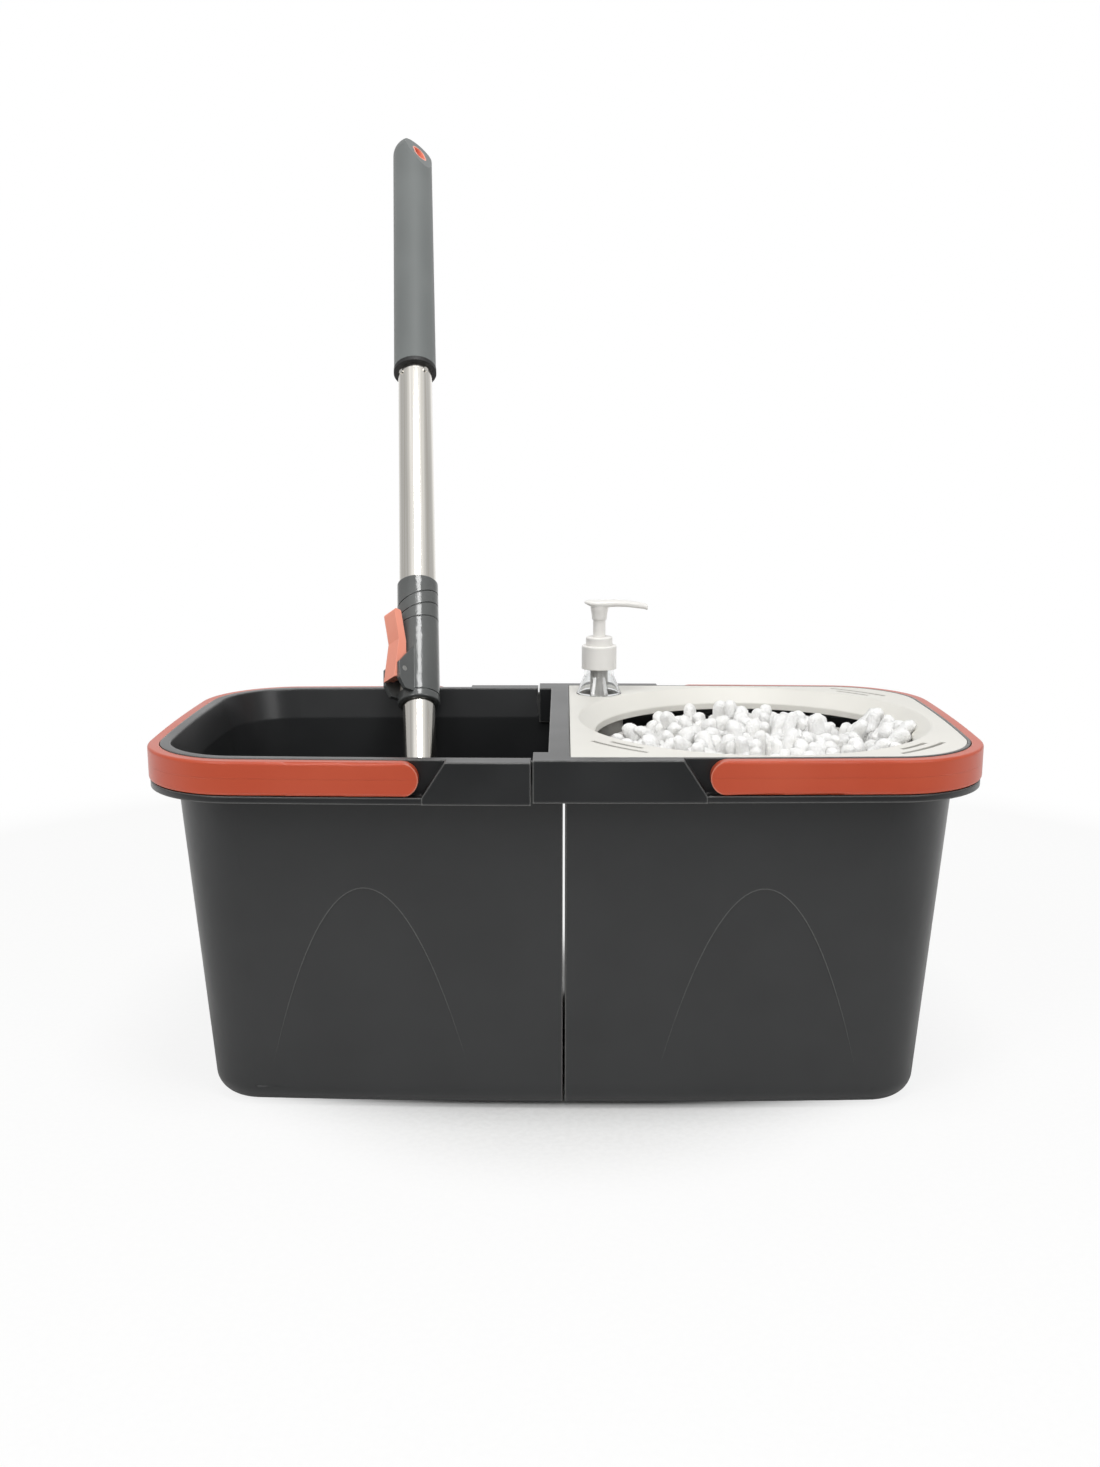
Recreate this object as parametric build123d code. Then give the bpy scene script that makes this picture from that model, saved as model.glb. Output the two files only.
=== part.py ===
from build123d import *
import math
import os

# Spin mop set: two buckets hooked side by side, a wringer and a telescopic stick.
# Millimetres, +X to the right, +Y to the back, +Z up. Everything is drawn about the joint plane
# between the buckets and then moved, so that the origin lies under the middle of the left bucket.

# Buckets: plan and heights
overall_length = 524.0
overall_depth = 264.0
rim_height = 234.0
rim_step = 1.5
plan_corner_radius = 64.0
end_bow = 5.0
side_bow = 6.0
wall = 2.5
floor_thickness = 3.0
base_inset = 32.0
neck_inset = 17.0
base_fillet = 15.0
rim_inner_inset = 13.5
inner_step_drop = 21.0
mouth_overrun = 4.0
joint_gap = 1.6
origin_to_joint = 131.0
relief_depth = 1.0
relief_top = 150.0
relief_foot = 30.0
relief_half_width = 62.0

# Bail handles and the recess they lie in
bail_thickness = 7.0
bail_height = 20.6
bail_edge_round = 1.6
bail_gap = 0.6
bail_drop = 0.4
bail_pivot_x = 96.0
peg_radius = 3.2
peg_depth = 4.2
peg_clearance = 0.08
ledge_thickness = 4.2
ledge_inset = 0.8
apron_top_x = 70.0
apron_foot_x = 84.0

# Hook between the buckets
ear_reach = 18.5
ear_gap = 1.2
ear_web = 3.0
skirt_gap = 0.6
hook_reach = 9.5
hook_thickness = 3.2
hook_lip_height = 12.0
hook_clearance = 0.8

# Wringer tray
tray_thickness = 2.4
tray_lip = 1.7
tray_gap = 0.4
tray_seat = 0.1
basin_edge = 5.8
basin_shift = -1.5
basin_y = 0.0
basin_slope_width = 11.0
basin_slope_drop = 10.0
opening_drop = 14.5
basin_round = 2.5
opening_round = 1.2
slot_width = 3.0
slot_outer_offset = 17.0
slot_inner_offset = 9.0
slot_angles = (-135.0, -46.0, 47.0)
slot_outer_half_angle = 10.0
slot_inner_half_angle = 6.0
bottle_from_joint = 21.8
bottle_from_back = 40.5
pocket_wall = 1.4
pocket_depth = 50.0

# Spin basket and its bearing
basket_rim_drop = 22.0
basket_depth = 92.0
basket_gap = 2.5
basket_taper = 17.0
basket_wall = 2.4
basket_flange = 3.0
basket_slots = 24
basket_slot_width = 7.0
basket_slot_share = 0.6
drain_inner_share = 0.5
drain_outer_share = 0.75
hub_radius = 11.0
hub_length = 18.0
hub_cap_radius = 15.0
hub_cap_height = 5.0
bearing_radius = 7.0
pin_radius = 4.0
pin_seat = 18.0
running_clearance = 0.06
washer_radius = 9.0
washer_thickness = 1.5
pedestal_foot_radius = 34.0
pedestal_top_radius = 20.0

# Mop head lying in the basket
disc_gap = 6.0
disc_thickness = 5.0
disc_hole_radius = 17.0
disc_lift = 0.4
pad_ring_inset = 14.0
pad_ring_width = 9.0
pad_ring_thickness = 3.0
pad_gap = 8.0
pad_rise = 6.0
pad_dip = 4.0
pad_crown_share = 0.6
pad_shoulder_share = 0.97

# Soap pump
bottle_radius = 16.0
bottle_wall = 1.2
bottle_gap = 0.5
shoulder_rise = 13.0
neck_radius = 11.0
closure_lift = 18.4
thread_height = 11.0
closure_radius = 12.7
closure_height = 17.0
chaplet_radius = 9.7
chaplet_height = 6.2
stem_radius = 4.5
stem_rise = 17.5
head_height = 9.6
head_radius = 6.2
spout_reach = 35.0
spout_width = 8.5
tail_reach = 11.0
tail_top_share = 0.7
spout_tip_share = 0.65
spout_neck_share = 0.9
head_underside_share = 0.3
housing_radius = 6.4
housing_wall = 1.0
housing_length = 40.0
dip_tube_radius = 2.4
dip_tube_wall = 0.6
inlet_ball_radius = 2.2
piston_radius = 5.3
piston_height = 5.0
spring_radius = 3.6
spring_wire = 0.45
spring_pitch = 3.2
pump_travel = 12.0

# Stick: where it leans and how long each piece is, measured along its axis from the rim plane
stick_x = -107.5
foot_gap = 10.316
lean_left = 3.25
lever_turn = 45.0
rest_gap = 0.4
upper_tube_radius = 14.0
lower_tube_radius = 12.0
tube_wall = 1.2
slide_clearance = 0.08
collar_radius = 15.6
collar_bottom = -10.0
collar_top = 94.0
collar_step = 32.0
groove_width = 0.9
groove_depth = 0.5
groove_places = ((77.5, 20.0), (67.0, 20.0), (57.0, 10.0), (-4.0, 0.0))
upper_tube_top = 530.0
lower_tube_top = 190.0
bush_length = 12.0
grip_radius = 17.4
grip_bottom = 305.0
grip_top = 569.0
grip_tip_turn = 48.0
grip_tip_right = 3.0
grip_tip_left = 10.0
grip_bevel_length = 42.0
end_ring_radius = 17.7
end_ring_height = 4.0
eye_width = 10.0
eye_length = 17.0
eye_wall = 1.6
eye_drop = 20.0
button_radius = 2.2
button_rise = 1.0
button_drop = 9.0
nut_bottom = 292.0
nut_height = 24.0
nut_radius = 9.0
nut_bore_clearance = 0.3
carrier_height = 30.0

# Lock lever on the collar
cheek_thickness = 3.2
cheek_reach = 25.0
cheek_bottom = -6.0
cheek_top = 32.0
lever_width = 13.0
lever_pivot_s = 10.0
lever_pivot_reach = 20.5
lever_top = 61.0
lever_thickness = 6.5
lever_bend = 36.0
lever_tail = 7.5
lever_lean = 4.5
lever_side_gap = 0.35
lever_cam_radius = 4.6
lever_pin_radius = 2.0
shoe_width = 9.0
shoe_thickness = 1.8
shoe_bottom = -2.0
shoe_top = 24.0
window_top = 27.0

# Foot of the stick
plug_radius = 18.5
plug_boss_drop = 9.6
plug_boss_radius = 15.0
tongue_width = 14.0
prong_thickness = 5.0
prong_radius = 9.0
fork_side_gap = 0.35
fork_pin_radius = 3.0
crown_bottom = 11.0
crown_top = 20.5
shank_radius = 8.0
shank_top = 44.0
ferrule_radius = 14.8
ferrule_bottom = 21.0
ferrule_seat = 29.0
ferrule_top = 60.0
clip_thickness = 1.6
clip_radius = 10.2
rod_width = 11.0
rod_thickness = 2.8
rod_top = 450.0
rod_pitch = 110.0
rod_stub_radius = 4.0
rod_stub_length = 12.0

# Heights and places that follow from the sizes above
far = 2 * overall_length
half_gap = joint_gap / 2
slack = 0.01
right_rim = rim_height + rim_step
recess_inset = bail_thickness + bail_gap
recess_depth = bail_drop + bail_height + bail_gap
ledge_drop = recess_depth + ledge_thickness
tray_inset = recess_inset + tray_lip + tray_gap
tray_left = half_gap + wall + tray_gap
tray_half_length = (overall_length / 2 - tray_inset - tray_left) / 2
tray_half_depth = overall_depth / 2 - tray_inset
basin_radius = min(tray_half_length, tray_half_depth) - basin_edge
basin_x = tray_left + tray_half_length + basin_shift
opening_radius = basin_radius - basin_slope_width
basket_rim_radius = opening_radius - basket_gap
basket_floor_radius = basket_rim_radius - basket_taper
disc_radius = basket_floor_radius - disc_gap
pad_ring_radius = disc_radius - pad_ring_inset
pad_radius = basket_rim_radius - pad_gap
bottle_x = tray_left + bottle_from_joint
bottle_y = overall_depth / 2 - bottle_from_back


def cosd(angle):
    return math.cos(math.radians(angle))


def sind(angle):
    return math.sin(math.radians(angle))


def oval(inset_x, inset_y=None, height=0.0):
    """Plan of both buckets together, drawn in from the handles' outer faces."""
    inset_y = inset_x if inset_y is None else inset_y
    half_x = overall_length / 2 - inset_x
    half_y = overall_depth / 2 - inset_y
    corner_x = half_x - end_bow
    corner_y = half_y - side_bow
    corners = [(-corner_x, -corner_y), (corner_x, -corner_y), (corner_x, corner_y), (-corner_x, corner_y)]
    middles = [(0, -half_y), (half_x, 0), (0, half_y), (-half_x, 0)]
    sides = [ThreePointArc(corners[i], middles[i], corners[(i + 1) % 4]) for i in range(4)]
    plan = fillet(make_face(sides).vertices(), plan_corner_radius - max(inset_x, inset_y))
    return Pos(0, 0, height) * plan


def side_y(x, inset):
    """Half depth of the oval at one place along the bowed side."""
    half_y = overall_depth / 2 - inset
    corner_x = overall_length / 2 - inset - end_bow
    bow_radius = (corner_x**2 + side_bow**2) / (2 * side_bow)
    return half_y - bow_radius + math.sqrt(bow_radius**2 - x**2)


def slab(inset_x, low, high, inset_y=None):
    return extrude(oval(inset_x, inset_y, low), high - low)


def between(low_x, high_x, low_z=-far, high_z=far):
    return Pos((low_x + high_x) / 2, 0, (low_z + high_z) / 2) * Box(high_x - low_x, far, high_z - low_z)


def tub_inset(height):
    """How far the drafted wall's outer face lies inside the handles' outer faces."""
    ledge_height = rim_height - ledge_drop
    return base_inset - (base_inset - neck_inset) * height / ledge_height


def drafted(low, high, extra=0.0):
    bottom = oval(tub_inset(low) + extra, height=low)
    top = oval(tub_inset(high) + extra, height=high)
    return loft([bottom, top], ruled=True)


def ring_at(x, y, low, high, outer, inner):
    tube = Cylinder(outer, high - low) - Cylinder(inner, 2 * (high - low))
    return Pos(x, y, (low + high) / 2) * tube


def rod_at(x, y, low, high, radius):
    return Pos(x, y, (low + high) / 2) * Cylinder(radius, high - low)


def along_y(x, y_low, y_high, z, radius):
    return Pos(x, (y_low + y_high) / 2, z) * Rot(90, 0, 0) * Cylinder(radius, y_high - y_low)


def profile_xz(points):
    """Flat face in the XZ plane from a list of corners."""
    return make_face(Plane.XZ * Polyline(*points, close=True))


def turned(points):
    """Solid of revolution about Z from (radius, height) corners."""
    return revolve(make_face(Plane.XZ * Polyline(*points, close=True)), Axis.Z)


# Buckets
def apron_block(rim_top, end_x, inset, margin):
    """Stretch of rim that stands flush with the handles, between slanted ends."""
    low = rim_top - ledge_drop - margin
    high = rim_top - margin
    ends = [
        (-apron_top_x + margin, high),
        (-apron_foot_x + margin, rim_top - recess_depth),
        (-apron_foot_x + margin, low),
        (-end_x - margin, low),
        (-end_x - margin, high),
    ]
    return extrude(profile_xz(ends), far, both=True) & slab(inset, low, high)


def relief_cutter():
    """Shallow arch in the front wall, deepest at its top and fading out at its foot."""
    centre = -(overall_length / 2 - neck_inset) / 2
    fall = relief_top - relief_foot
    left_foot = (centre - relief_half_width, relief_foot)
    right_foot = (centre + relief_half_width, relief_foot)
    apex = (centre, relief_top + fall)
    curve = Bezier(left_foot, apex, right_foot)
    arch = make_face(Plane.XZ * Curve([curve, Line(right_foot, left_foot)]))
    prism = Pos(0, -overall_depth / 2, 0) * extrude(arch, overall_depth / 4, both=True)
    slope = relief_depth / fall
    high_z = rim_height - ledge_drop
    low = oval(tub_inset(0) - slope * relief_foot)
    high = oval(tub_inset(high_z) + slope * (high_z - relief_foot), height=high_z)
    return prism - loft([low, high], ruled=True)


def bucket_shell(rim_top, rim_end, mouth):
    """One bucket, drawn on the left of the joint, its rim ending at rim_end from the joint plane."""
    ledge_low = rim_top - ledge_drop
    step = rim_top - inner_step_drop
    joint_wall = -half_gap - wall
    pivot_z = rim_top - bail_drop - bail_height / 2

    tub = drafted(0, step) & between(-far, -half_gap)
    base_edges = [e for e in tub.edges().group_by(Axis.Z)[0] if e.center().X < joint_wall]
    tub = fillet(base_edges, base_fillet)
    rim = slab(recess_inset, ledge_low, rim_top) & between(-far, -rim_end)
    ledge = slab(ledge_inset, ledge_low, ledge_low + ledge_thickness) & between(-far, -rim_end)
    apron_hollow = apron_block(rim_top, rim_end, wall, wall) - slab(recess_inset, 0, far)
    apron = apron_block(rim_top, rim_end, 0, 0) - apron_hollow

    hollow = drafted(floor_thickness, rim_top, wall) & between(-far, joint_wall)
    floor_edges = [e for e in hollow.edges().group_by(Axis.Z)[0] if e.center().X < joint_wall - wall]
    hollow = fillet(floor_edges, base_fillet - wall)
    mouth &= between(-far, min(joint_wall, -rim_end))
    shell = tub + rim + ledge + apron - hollow - mouth - relief_cutter()
    recess_y = side_y(bail_pivot_x, recess_inset)
    hole_end = recess_y - peg_depth - bail_gap
    for side in (-1, 1):
        hole = along_y(-bail_pivot_x, hole_end, recess_y + wall, pivot_z, peg_radius + peg_clearance)
        shell -= hole if side > 0 else mirror(hole, about=Plane.XZ)
    return shell


def left_bucket():
    rim_end = ear_reach + ear_gap
    step = rim_height - inner_step_drop
    slope = (tub_inset(step) + wall - rim_inner_inset) / inner_step_drop
    mouth_low = oval(rim_inner_inset + slope * (inner_step_drop + mouth_overrun), height=step - mouth_overrun)
    mouth_high = oval(rim_inner_inset - slope * mouth_overrun, height=rim_height + mouth_overrun)
    shell = bucket_shell(rim_height, rim_end, loft([mouth_low, mouth_high], ruled=True))
    wall_top = right_rim - hook_thickness - hook_clearance
    stub = drafted(rim_height - inner_step_drop, wall_top) & between(-rim_end, -half_gap)
    stub -= drafted(floor_thickness, rim_height, wall) & between(-far, -half_gap - wall)
    return shell + stub


def right_bucket():
    mouth = slab(rim_inner_inset, right_rim - inner_step_drop, far)
    shell = mirror(bucket_shell(right_rim, half_gap, mouth), about=Plane.YZ)
    inner_face = half_gap + wall
    ledge_low = right_rim - ledge_drop
    skirt_inset = tub_inset(ledge_low) + wall + skirt_gap

    # Ears hang over the left bucket's front and back walls
    ears = slab(0, ledge_low, right_rim) - slab(skirt_inset + wall, 0, far)
    ears &= between(-ear_reach, inner_face)
    under_web = slab(wall, 0, right_rim - ear_web)
    ears -= (under_web - slab(skirt_inset, 0, far)) & between(-far, half_gap)
    ears -= under_web & between(-half_gap - wall - ear_gap, half_gap)
    shell += ears

    # Hook bar along the joint, with a lip inside the left bucket
    span = slab(rim_inner_inset, 0, far)
    shell += span & between(-hook_reach, inner_face, right_rim - hook_thickness, right_rim)
    lip = between(-hook_reach, -hook_reach + wall, right_rim - hook_lip_height, right_rim)
    shell += slab(skirt_inset + wall / 2, 0, far) & lip

    # Seat for the tray
    seat = slab(recess_inset + tray_lip, right_rim - tray_thickness - tray_seat, far)
    shell -= seat & between(inner_face, far)

    # Hollow pedestal that carries the basket's pin
    body = turned([(0, 0), (pedestal_foot_radius, 0), (pedestal_top_radius, pedestal_top), (0, pedestal_top)])
    core_top = pedestal_top - pin_seat - wall
    core_foot = pedestal_foot_radius - wall
    core = turned([(0, 0), (core_foot, 0), (pedestal_top_radius - wall, core_top), (0, core_top)])
    shell = shell + Pos(basin_x, basin_y, 0) * body - Pos(basin_x, basin_y, 0) * core
    return shell - rod_at(basin_x, basin_y, pedestal_top - pin_seat, far, pin_radius)


def bail(rim_top):
    """Handle on the left of the joint, lying round the rim, with a peg on each end."""
    high = rim_top - bail_drop
    low = high - bail_height
    middle = (low + high) / 2
    outer = slab(0, low, high)
    levels = outer.edges().group_by(Axis.Z)
    rims = levels[0] + levels[-1]
    ring = fillet(rims, bail_edge_round) - slab(bail_thickness, 0, far)
    arms = ring & between(-far, -bail_pivot_x)
    ends = ring & along_y(-bail_pivot_x, -far, far, middle, bail_height / 2)
    inner_y = side_y(bail_pivot_x, bail_thickness)
    peg_end = inner_y - bail_gap - peg_depth
    peg = along_y(-bail_pivot_x, peg_end, inner_y + bail_thickness / 2, middle, peg_radius)
    return arms + ends + peg + mirror(peg, about=Plane.XZ)


# Wringer tray, basket and bearing
basket_rim_z = right_rim - basket_rim_drop
basket_low = basket_rim_z - basket_depth
basket_floor_top = basket_low + basket_wall
hub_low = basket_low - hub_length
pedestal_top = hub_low - washer_thickness - running_clearance
pocket_floor = right_rim - pocket_depth + wall


def arc_slot(radius, start, end):
    """Curved drain slot about the basin's centre, from one angle to another."""
    ring = ring_at(basin_x, basin_y, -far, far, radius + slot_width / 2, radius - slot_width / 2)
    first = (far * cosd(start), far * sind(start))
    last = (far * cosd(end), far * sind(end))
    wedge = Polyline((0, 0), first, last, close=True)
    return ring & Pos(basin_x, basin_y, 0) * extrude(make_face(wedge), far)


def near(edge, radius, height):
    return abs(edge.radius - radius) < slack and abs(edge.center().Z - height) < slack


def wringer_tray():
    low = right_rim - tray_thickness
    plate = slab(tray_inset, low, right_rim) & between(tray_left, far)
    throat = right_rim - opening_drop
    throat_outer = opening_radius + tray_thickness
    slope = basin_slope_drop / (basin_radius - opening_radius)
    funnel = [
        (basin_radius, right_rim),
        (basin_radius, low),
        (throat_outer, low - slope * (basin_radius - throat_outer)),
        (throat_outer, throat),
        (opening_radius, throat),
        (opening_radius, right_rim - basin_slope_drop),
    ]
    centre = Pos(basin_x, basin_y, 0)
    plate = plate - rod_at(basin_x, basin_y, 0, far, basin_radius) + centre * turned(funnel)
    rings = plate.edges().filter_by(GeomType.CIRCLE)
    plate = fillet([e for e in rings if near(e, basin_radius, right_rim)], basin_round)
    rings = plate.edges().filter_by(GeomType.CIRCLE)
    plate = fillet([e for e in rings if near(e, opening_radius, right_rim - basin_slope_drop)], opening_round)
    outer = basin_radius + slot_outer_offset
    inner = basin_radius + slot_inner_offset
    through = between(-far, far, low - tray_thickness, far)
    for middle in slot_angles:
        plate -= arc_slot(outer, middle - slot_outer_half_angle, middle + slot_outer_half_angle) & through
        plate -= arc_slot(inner, middle - slot_inner_half_angle, middle + slot_inner_half_angle) & through
    bore = bottle_radius + bottle_gap
    plate += rod_at(bottle_x, bottle_y, right_rim - pocket_depth, right_rim, bore + pocket_wall)
    return plate - rod_at(bottle_x, bottle_y, pocket_floor, far, bore)


def spin_basket():
    rim_wall = basket_rim_radius - basket_flange
    cup = turned([
        (bearing_radius, basket_low),
        (basket_floor_radius, basket_low),
        (rim_wall, basket_rim_z - basket_wall),
        (basket_rim_radius, basket_rim_z - basket_wall),
        (basket_rim_radius, basket_rim_z),
        (rim_wall - basket_wall, basket_rim_z),
        (basket_floor_radius - basket_wall, basket_floor_top),
        (bearing_radius, basket_floor_top),
    ])
    cup += ring_at(0, 0, hub_low, basket_low, hub_radius, bearing_radius)
    slot_height = basket_depth * basket_slot_share
    slot = Box(4 * basket_wall + basket_flange, basket_slot_width, slot_height)
    reach = (basket_floor_radius + rim_wall - basket_wall) / 2
    drain = Cylinder(basket_slot_width / 2, 4 * basket_wall)
    for i in range(basket_slots):
        turn = Rot(0, 0, 360 * i / basket_slots)
        cup -= turn * Pos(reach, 0, basket_low + basket_depth / 2) * slot
        share = drain_outer_share if i % 2 else drain_inner_share
        cup -= turn * Pos(basket_floor_radius * share, 0, basket_low) * drain
    return Pos(basin_x, basin_y, 0) * cup


def basket_bearing():
    bore = pin_radius + running_clearance
    return ring_at(basin_x, basin_y, hub_low, basket_floor_top, bearing_radius, bore)


def pivot_pin():
    return rod_at(basin_x, basin_y, pedestal_top - pin_seat, basket_floor_top - wall / 2, pin_radius)


def thrust_washer():
    return ring_at(basin_x, basin_y, pedestal_top, pedestal_top + washer_thickness, washer_radius, pin_radius)


def hub_cap():
    top = basket_floor_top + hub_cap_height
    cap = rod_at(basin_x, basin_y, basket_floor_top, top, hub_cap_radius)
    cap = fillet(cap.edges().group_by(Axis.Z)[-1], wall / 2)
    return cap - rod_at(basin_x, basin_y, basket_floor_top, top - wall / 2, bearing_radius + wall)


# Mop head
disc_low = basket_floor_top + disc_lift
disc_high = disc_low + disc_thickness
ring_high = disc_high + pad_ring_thickness


def mop_disc():
    disc = ring_at(basin_x, basin_y, disc_low, disc_high, disc_radius, disc_hole_radius)
    return fillet(disc.edges().filter_by(GeomType.CIRCLE).group_by(SortBy.RADIUS)[-1], disc_thickness / 3)


def pad_ring():
    inner = pad_ring_radius - pad_ring_width
    return ring_at(basin_x, basin_y, disc_high, ring_high, pad_ring_radius, inner)


def mop_pad():
    """Mound of strands, kept clear of the basket's wall and the basin's opening."""
    lower = disc_radius - wall
    shoulder = right_rim - opening_drop
    crown = right_rim + pad_rise
    outline = Curve([
        Line((0, ring_high), (lower, ring_high)),
        Line((lower, ring_high), (pad_radius, basket_rim_z)),
        Spline(
            (pad_radius, basket_rim_z),
            (pad_radius * pad_shoulder_share, shoulder),
            (pad_radius * pad_crown_share, crown),
            (0, crown - pad_dip),
            tangents=[(0, 1), (-1, 0)],
        ),
        Line((0, crown - pad_dip), (0, ring_high)),
    ])
    return Pos(basin_x, basin_y, 0) * revolve(make_face(Plane.XZ * outline), Axis.Z)


# Soap pump
bottle_low = pocket_floor + tray_seat
closure_low = right_rim + closure_lift
closure_high = closure_low + closure_height
neck_high = closure_low + thread_height
gasket_high = neck_high + bottle_wall
flange_high = gasket_high + housing_wall
chaplet_high = closure_high + chaplet_height
head_low = chaplet_high + stem_rise
housing_low = flange_high - housing_length
housing_bore = housing_radius - housing_wall
piston_high = flange_high - pump_travel
piston_low = piston_high - piston_height


def at_bottle(shape):
    return Pos(bottle_x, bottle_y, 0) * shape


def soap_bottle():
    shoulder = right_rim + bottle_wall
    neck_low = right_rim + shoulder_rise
    inner = bottle_radius - bottle_wall
    return at_bottle(turned([
        (0, bottle_low),
        (bottle_radius, bottle_low),
        (bottle_radius, shoulder),
        (neck_radius, neck_low),
        (neck_radius, neck_high),
        (neck_radius - bottle_wall, neck_high),
        (neck_radius - bottle_wall, neck_low),
        (inner, shoulder - bottle_wall),
        (inner, bottle_low + bottle_wall),
        (0, bottle_low + bottle_wall),
    ]))


def neck_gasket():
    return at_bottle(ring_at(0, 0, neck_high, gasket_high, neck_radius, housing_radius))


def pump_housing():
    body = rod_at(0, 0, housing_low, flange_high, housing_radius)
    body += rod_at(0, 0, gasket_high, flange_high, neck_radius)
    throat = rod_at(0, 0, housing_low - 2 * housing_wall, housing_low, dip_tube_radius + housing_wall)
    body = body + throat - rod_at(0, 0, housing_low + housing_wall, far, housing_bore)
    body -= rod_at(0, 0, 0, housing_low, dip_tube_radius)
    return at_bottle(body - rod_at(0, 0, 0, far, dip_tube_radius - dip_tube_wall))


def dip_tube():
    low = bottle_low + bottle_wall + 2 * dip_tube_wall
    return at_bottle(ring_at(0, 0, low, housing_low, dip_tube_radius, dip_tube_radius - dip_tube_wall))


def inlet_ball():
    seat = math.sqrt(inlet_ball_radius**2 - (dip_tube_radius - dip_tube_wall) ** 2)
    return at_bottle(Pos(0, 0, housing_low + housing_wall + seat) * Sphere(inlet_ball_radius))


def pump_closure():
    cap = rod_at(0, 0, closure_low, closure_high, closure_radius)
    cap -= rod_at(0, 0, 0, closure_high - wall, neck_radius)
    cap = fillet(cap.edges().group_by(Axis.Z)[-1], housing_wall)
    return at_bottle(cap - rod_at(0, 0, 0, far, housing_radius))


def pump_chaplet():
    """Threaded guide of the stem, standing on the closure and reaching down into the housing."""
    guide = rod_at(0, 0, closure_high, chaplet_high, chaplet_radius)
    guide = fillet(guide.edges().group_by(Axis.Z)[-1], housing_wall)
    guide += rod_at(0, 0, flange_high, closure_high, housing_radius)
    return at_bottle(guide - rod_at(0, 0, 0, far, stem_radius + running_clearance))


def pump_stem():
    high = head_low + head_height / 2
    stem = rod_at(0, 0, piston_high, high, stem_radius)
    return at_bottle(stem - rod_at(0, 0, 0, far, dip_tube_radius))


def pump_piston():
    outer = housing_bore - running_clearance
    return at_bottle(ring_at(0, 0, piston_low, piston_high, outer, dip_tube_radius))


def pump_spring():
    low = housing_low + housing_wall + spring_wire
    height = piston_low - low - spring_wire
    turns = math.floor(height / spring_pitch)
    path = Helix(height / turns, height, spring_radius)
    coil = sweep(Plane(path @ 0, z_dir=path % 0) * Circle(spring_wire), path)
    print("pump_spring least gap between turns, mm:", round(height / turns - 2 * spring_wire, 2))
    return at_bottle(Pos(0, 0, low) * coil)


def pump_head():
    drop = head_height * head_underside_share
    side = profile_xz([
        (-tail_reach, drop),
        (-tail_reach, head_height * tail_top_share),
        (-head_radius, head_height),
        (head_radius, head_height),
        (spout_reach, head_height * spout_tip_share),
        (spout_reach, 0),
        (spout_reach * spout_neck_share, drop),
    ])
    spout = extrude(side, spout_width / 2, both=True)
    spout = fillet(spout.edges().filter_by(Axis.Y), housing_wall / 2)
    head = spout + rod_at(0, 0, 0, head_height, head_radius)
    head -= rod_at(0, 0, -head_height, head_height / 2 + running_clearance, stem_radius + running_clearance)
    return at_bottle(Pos(0, 0, head_low) * head)


# Stick, drawn upright about its own axis and then leaned on the left bucket's back rim
rest_y = side_y(stick_x, rim_inner_inset)
foot_y = base_inset + wall + plug_radius + foot_gap - overall_depth / 2
foot_drop = rim_height - floor_thickness - plug_radius - rest_gap
lean_span = math.hypot(rest_y - foot_y, foot_drop)
lean_start = math.degrees(math.atan2(foot_drop, rest_y - foot_y))
lean_back = math.degrees(math.acos((collar_radius + rest_gap) / lean_span)) - lean_start
axis = Vector(-sind(lean_left), cosd(lean_left) * sind(lean_back), cosd(lean_left) * cosd(lean_back))
stick_y = rest_y - (collar_radius + rest_gap) / cosd(lean_back)
toward_viewer = Vector(0, -1, 0) + axis * axis.Y
stick_frame = Plane((stick_x, stick_y, rim_height), x_dir=toward_viewer, z_dir=axis)
pin_s = -foot_drop / axis.Z
upper_bore = upper_tube_radius - tube_wall
lower_bore = lower_tube_radius - tube_wall
rod_start = pin_s + shank_top - rod_stub_length
rod_clear = math.hypot(rod_width, rod_thickness) / 2 + nut_bore_clearance


def on_stick(shape):
    return stick_frame.location * shape


def tube_s(low, high, outer, inner):
    return ring_at(0, 0, low, high, outer, inner)


def lower_tube():
    return on_stick(tube_s(pin_s + ferrule_seat, lower_tube_top, lower_tube_radius, lower_bore))


def guide_bush():
    low = lower_tube_top - bush_length
    return on_stick(tube_s(low, lower_tube_top, upper_bore - slide_clearance, lower_tube_radius))


def foot_ferrule():
    body = rod_at(0, 0, pin_s + ferrule_bottom, pin_s + ferrule_top, ferrule_radius)
    body = fillet(body.edges().filter_by(GeomType.CIRCLE), wall)
    body -= rod_at(0, 0, pin_s + ferrule_seat, far, lower_tube_radius)
    return on_stick(body - rod_at(0, 0, -far, far, shank_radius + slide_clearance))


def buttons():
    """Two snap buttons side by side under the grip."""
    level = grip_bottom - button_drop
    reach = upper_tube_radius + button_rise
    for turn in (-lever_turn, lever_turn):
        place = Rot(0, 0, turn) * Pos((reach + upper_bore) / 2, 0, level) * Rot(0, 90, 0)
        yield place * Cylinder(button_radius, reach - upper_bore)


def upper_tube():
    tube = tube_s(collar_step, upper_tube_top, upper_tube_radius, upper_bore)
    for button in buttons():
        tube -= button
    return on_stick(tube)


def grip_envelope():
    """Round bar whose end is cut to a tongue by two slanted faces."""
    bar = rod_at(0, 0, grip_bottom, grip_top - grip_radius, grip_radius)
    bar += Pos(0, 0, grip_top - grip_radius) * Sphere(grip_radius)
    low = grip_top - grip_bevel_length
    tongue = profile_xz([
        (-grip_radius, grip_bottom),
        (grip_radius, grip_bottom),
        (grip_radius, low),
        (grip_tip_right, grip_top),
        (-grip_tip_left, grip_top),
        (-grip_radius, low),
    ])
    return Rot(0, 0, grip_tip_turn) * (bar & extrude(tongue, 2 * grip_radius, both=True))


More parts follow.
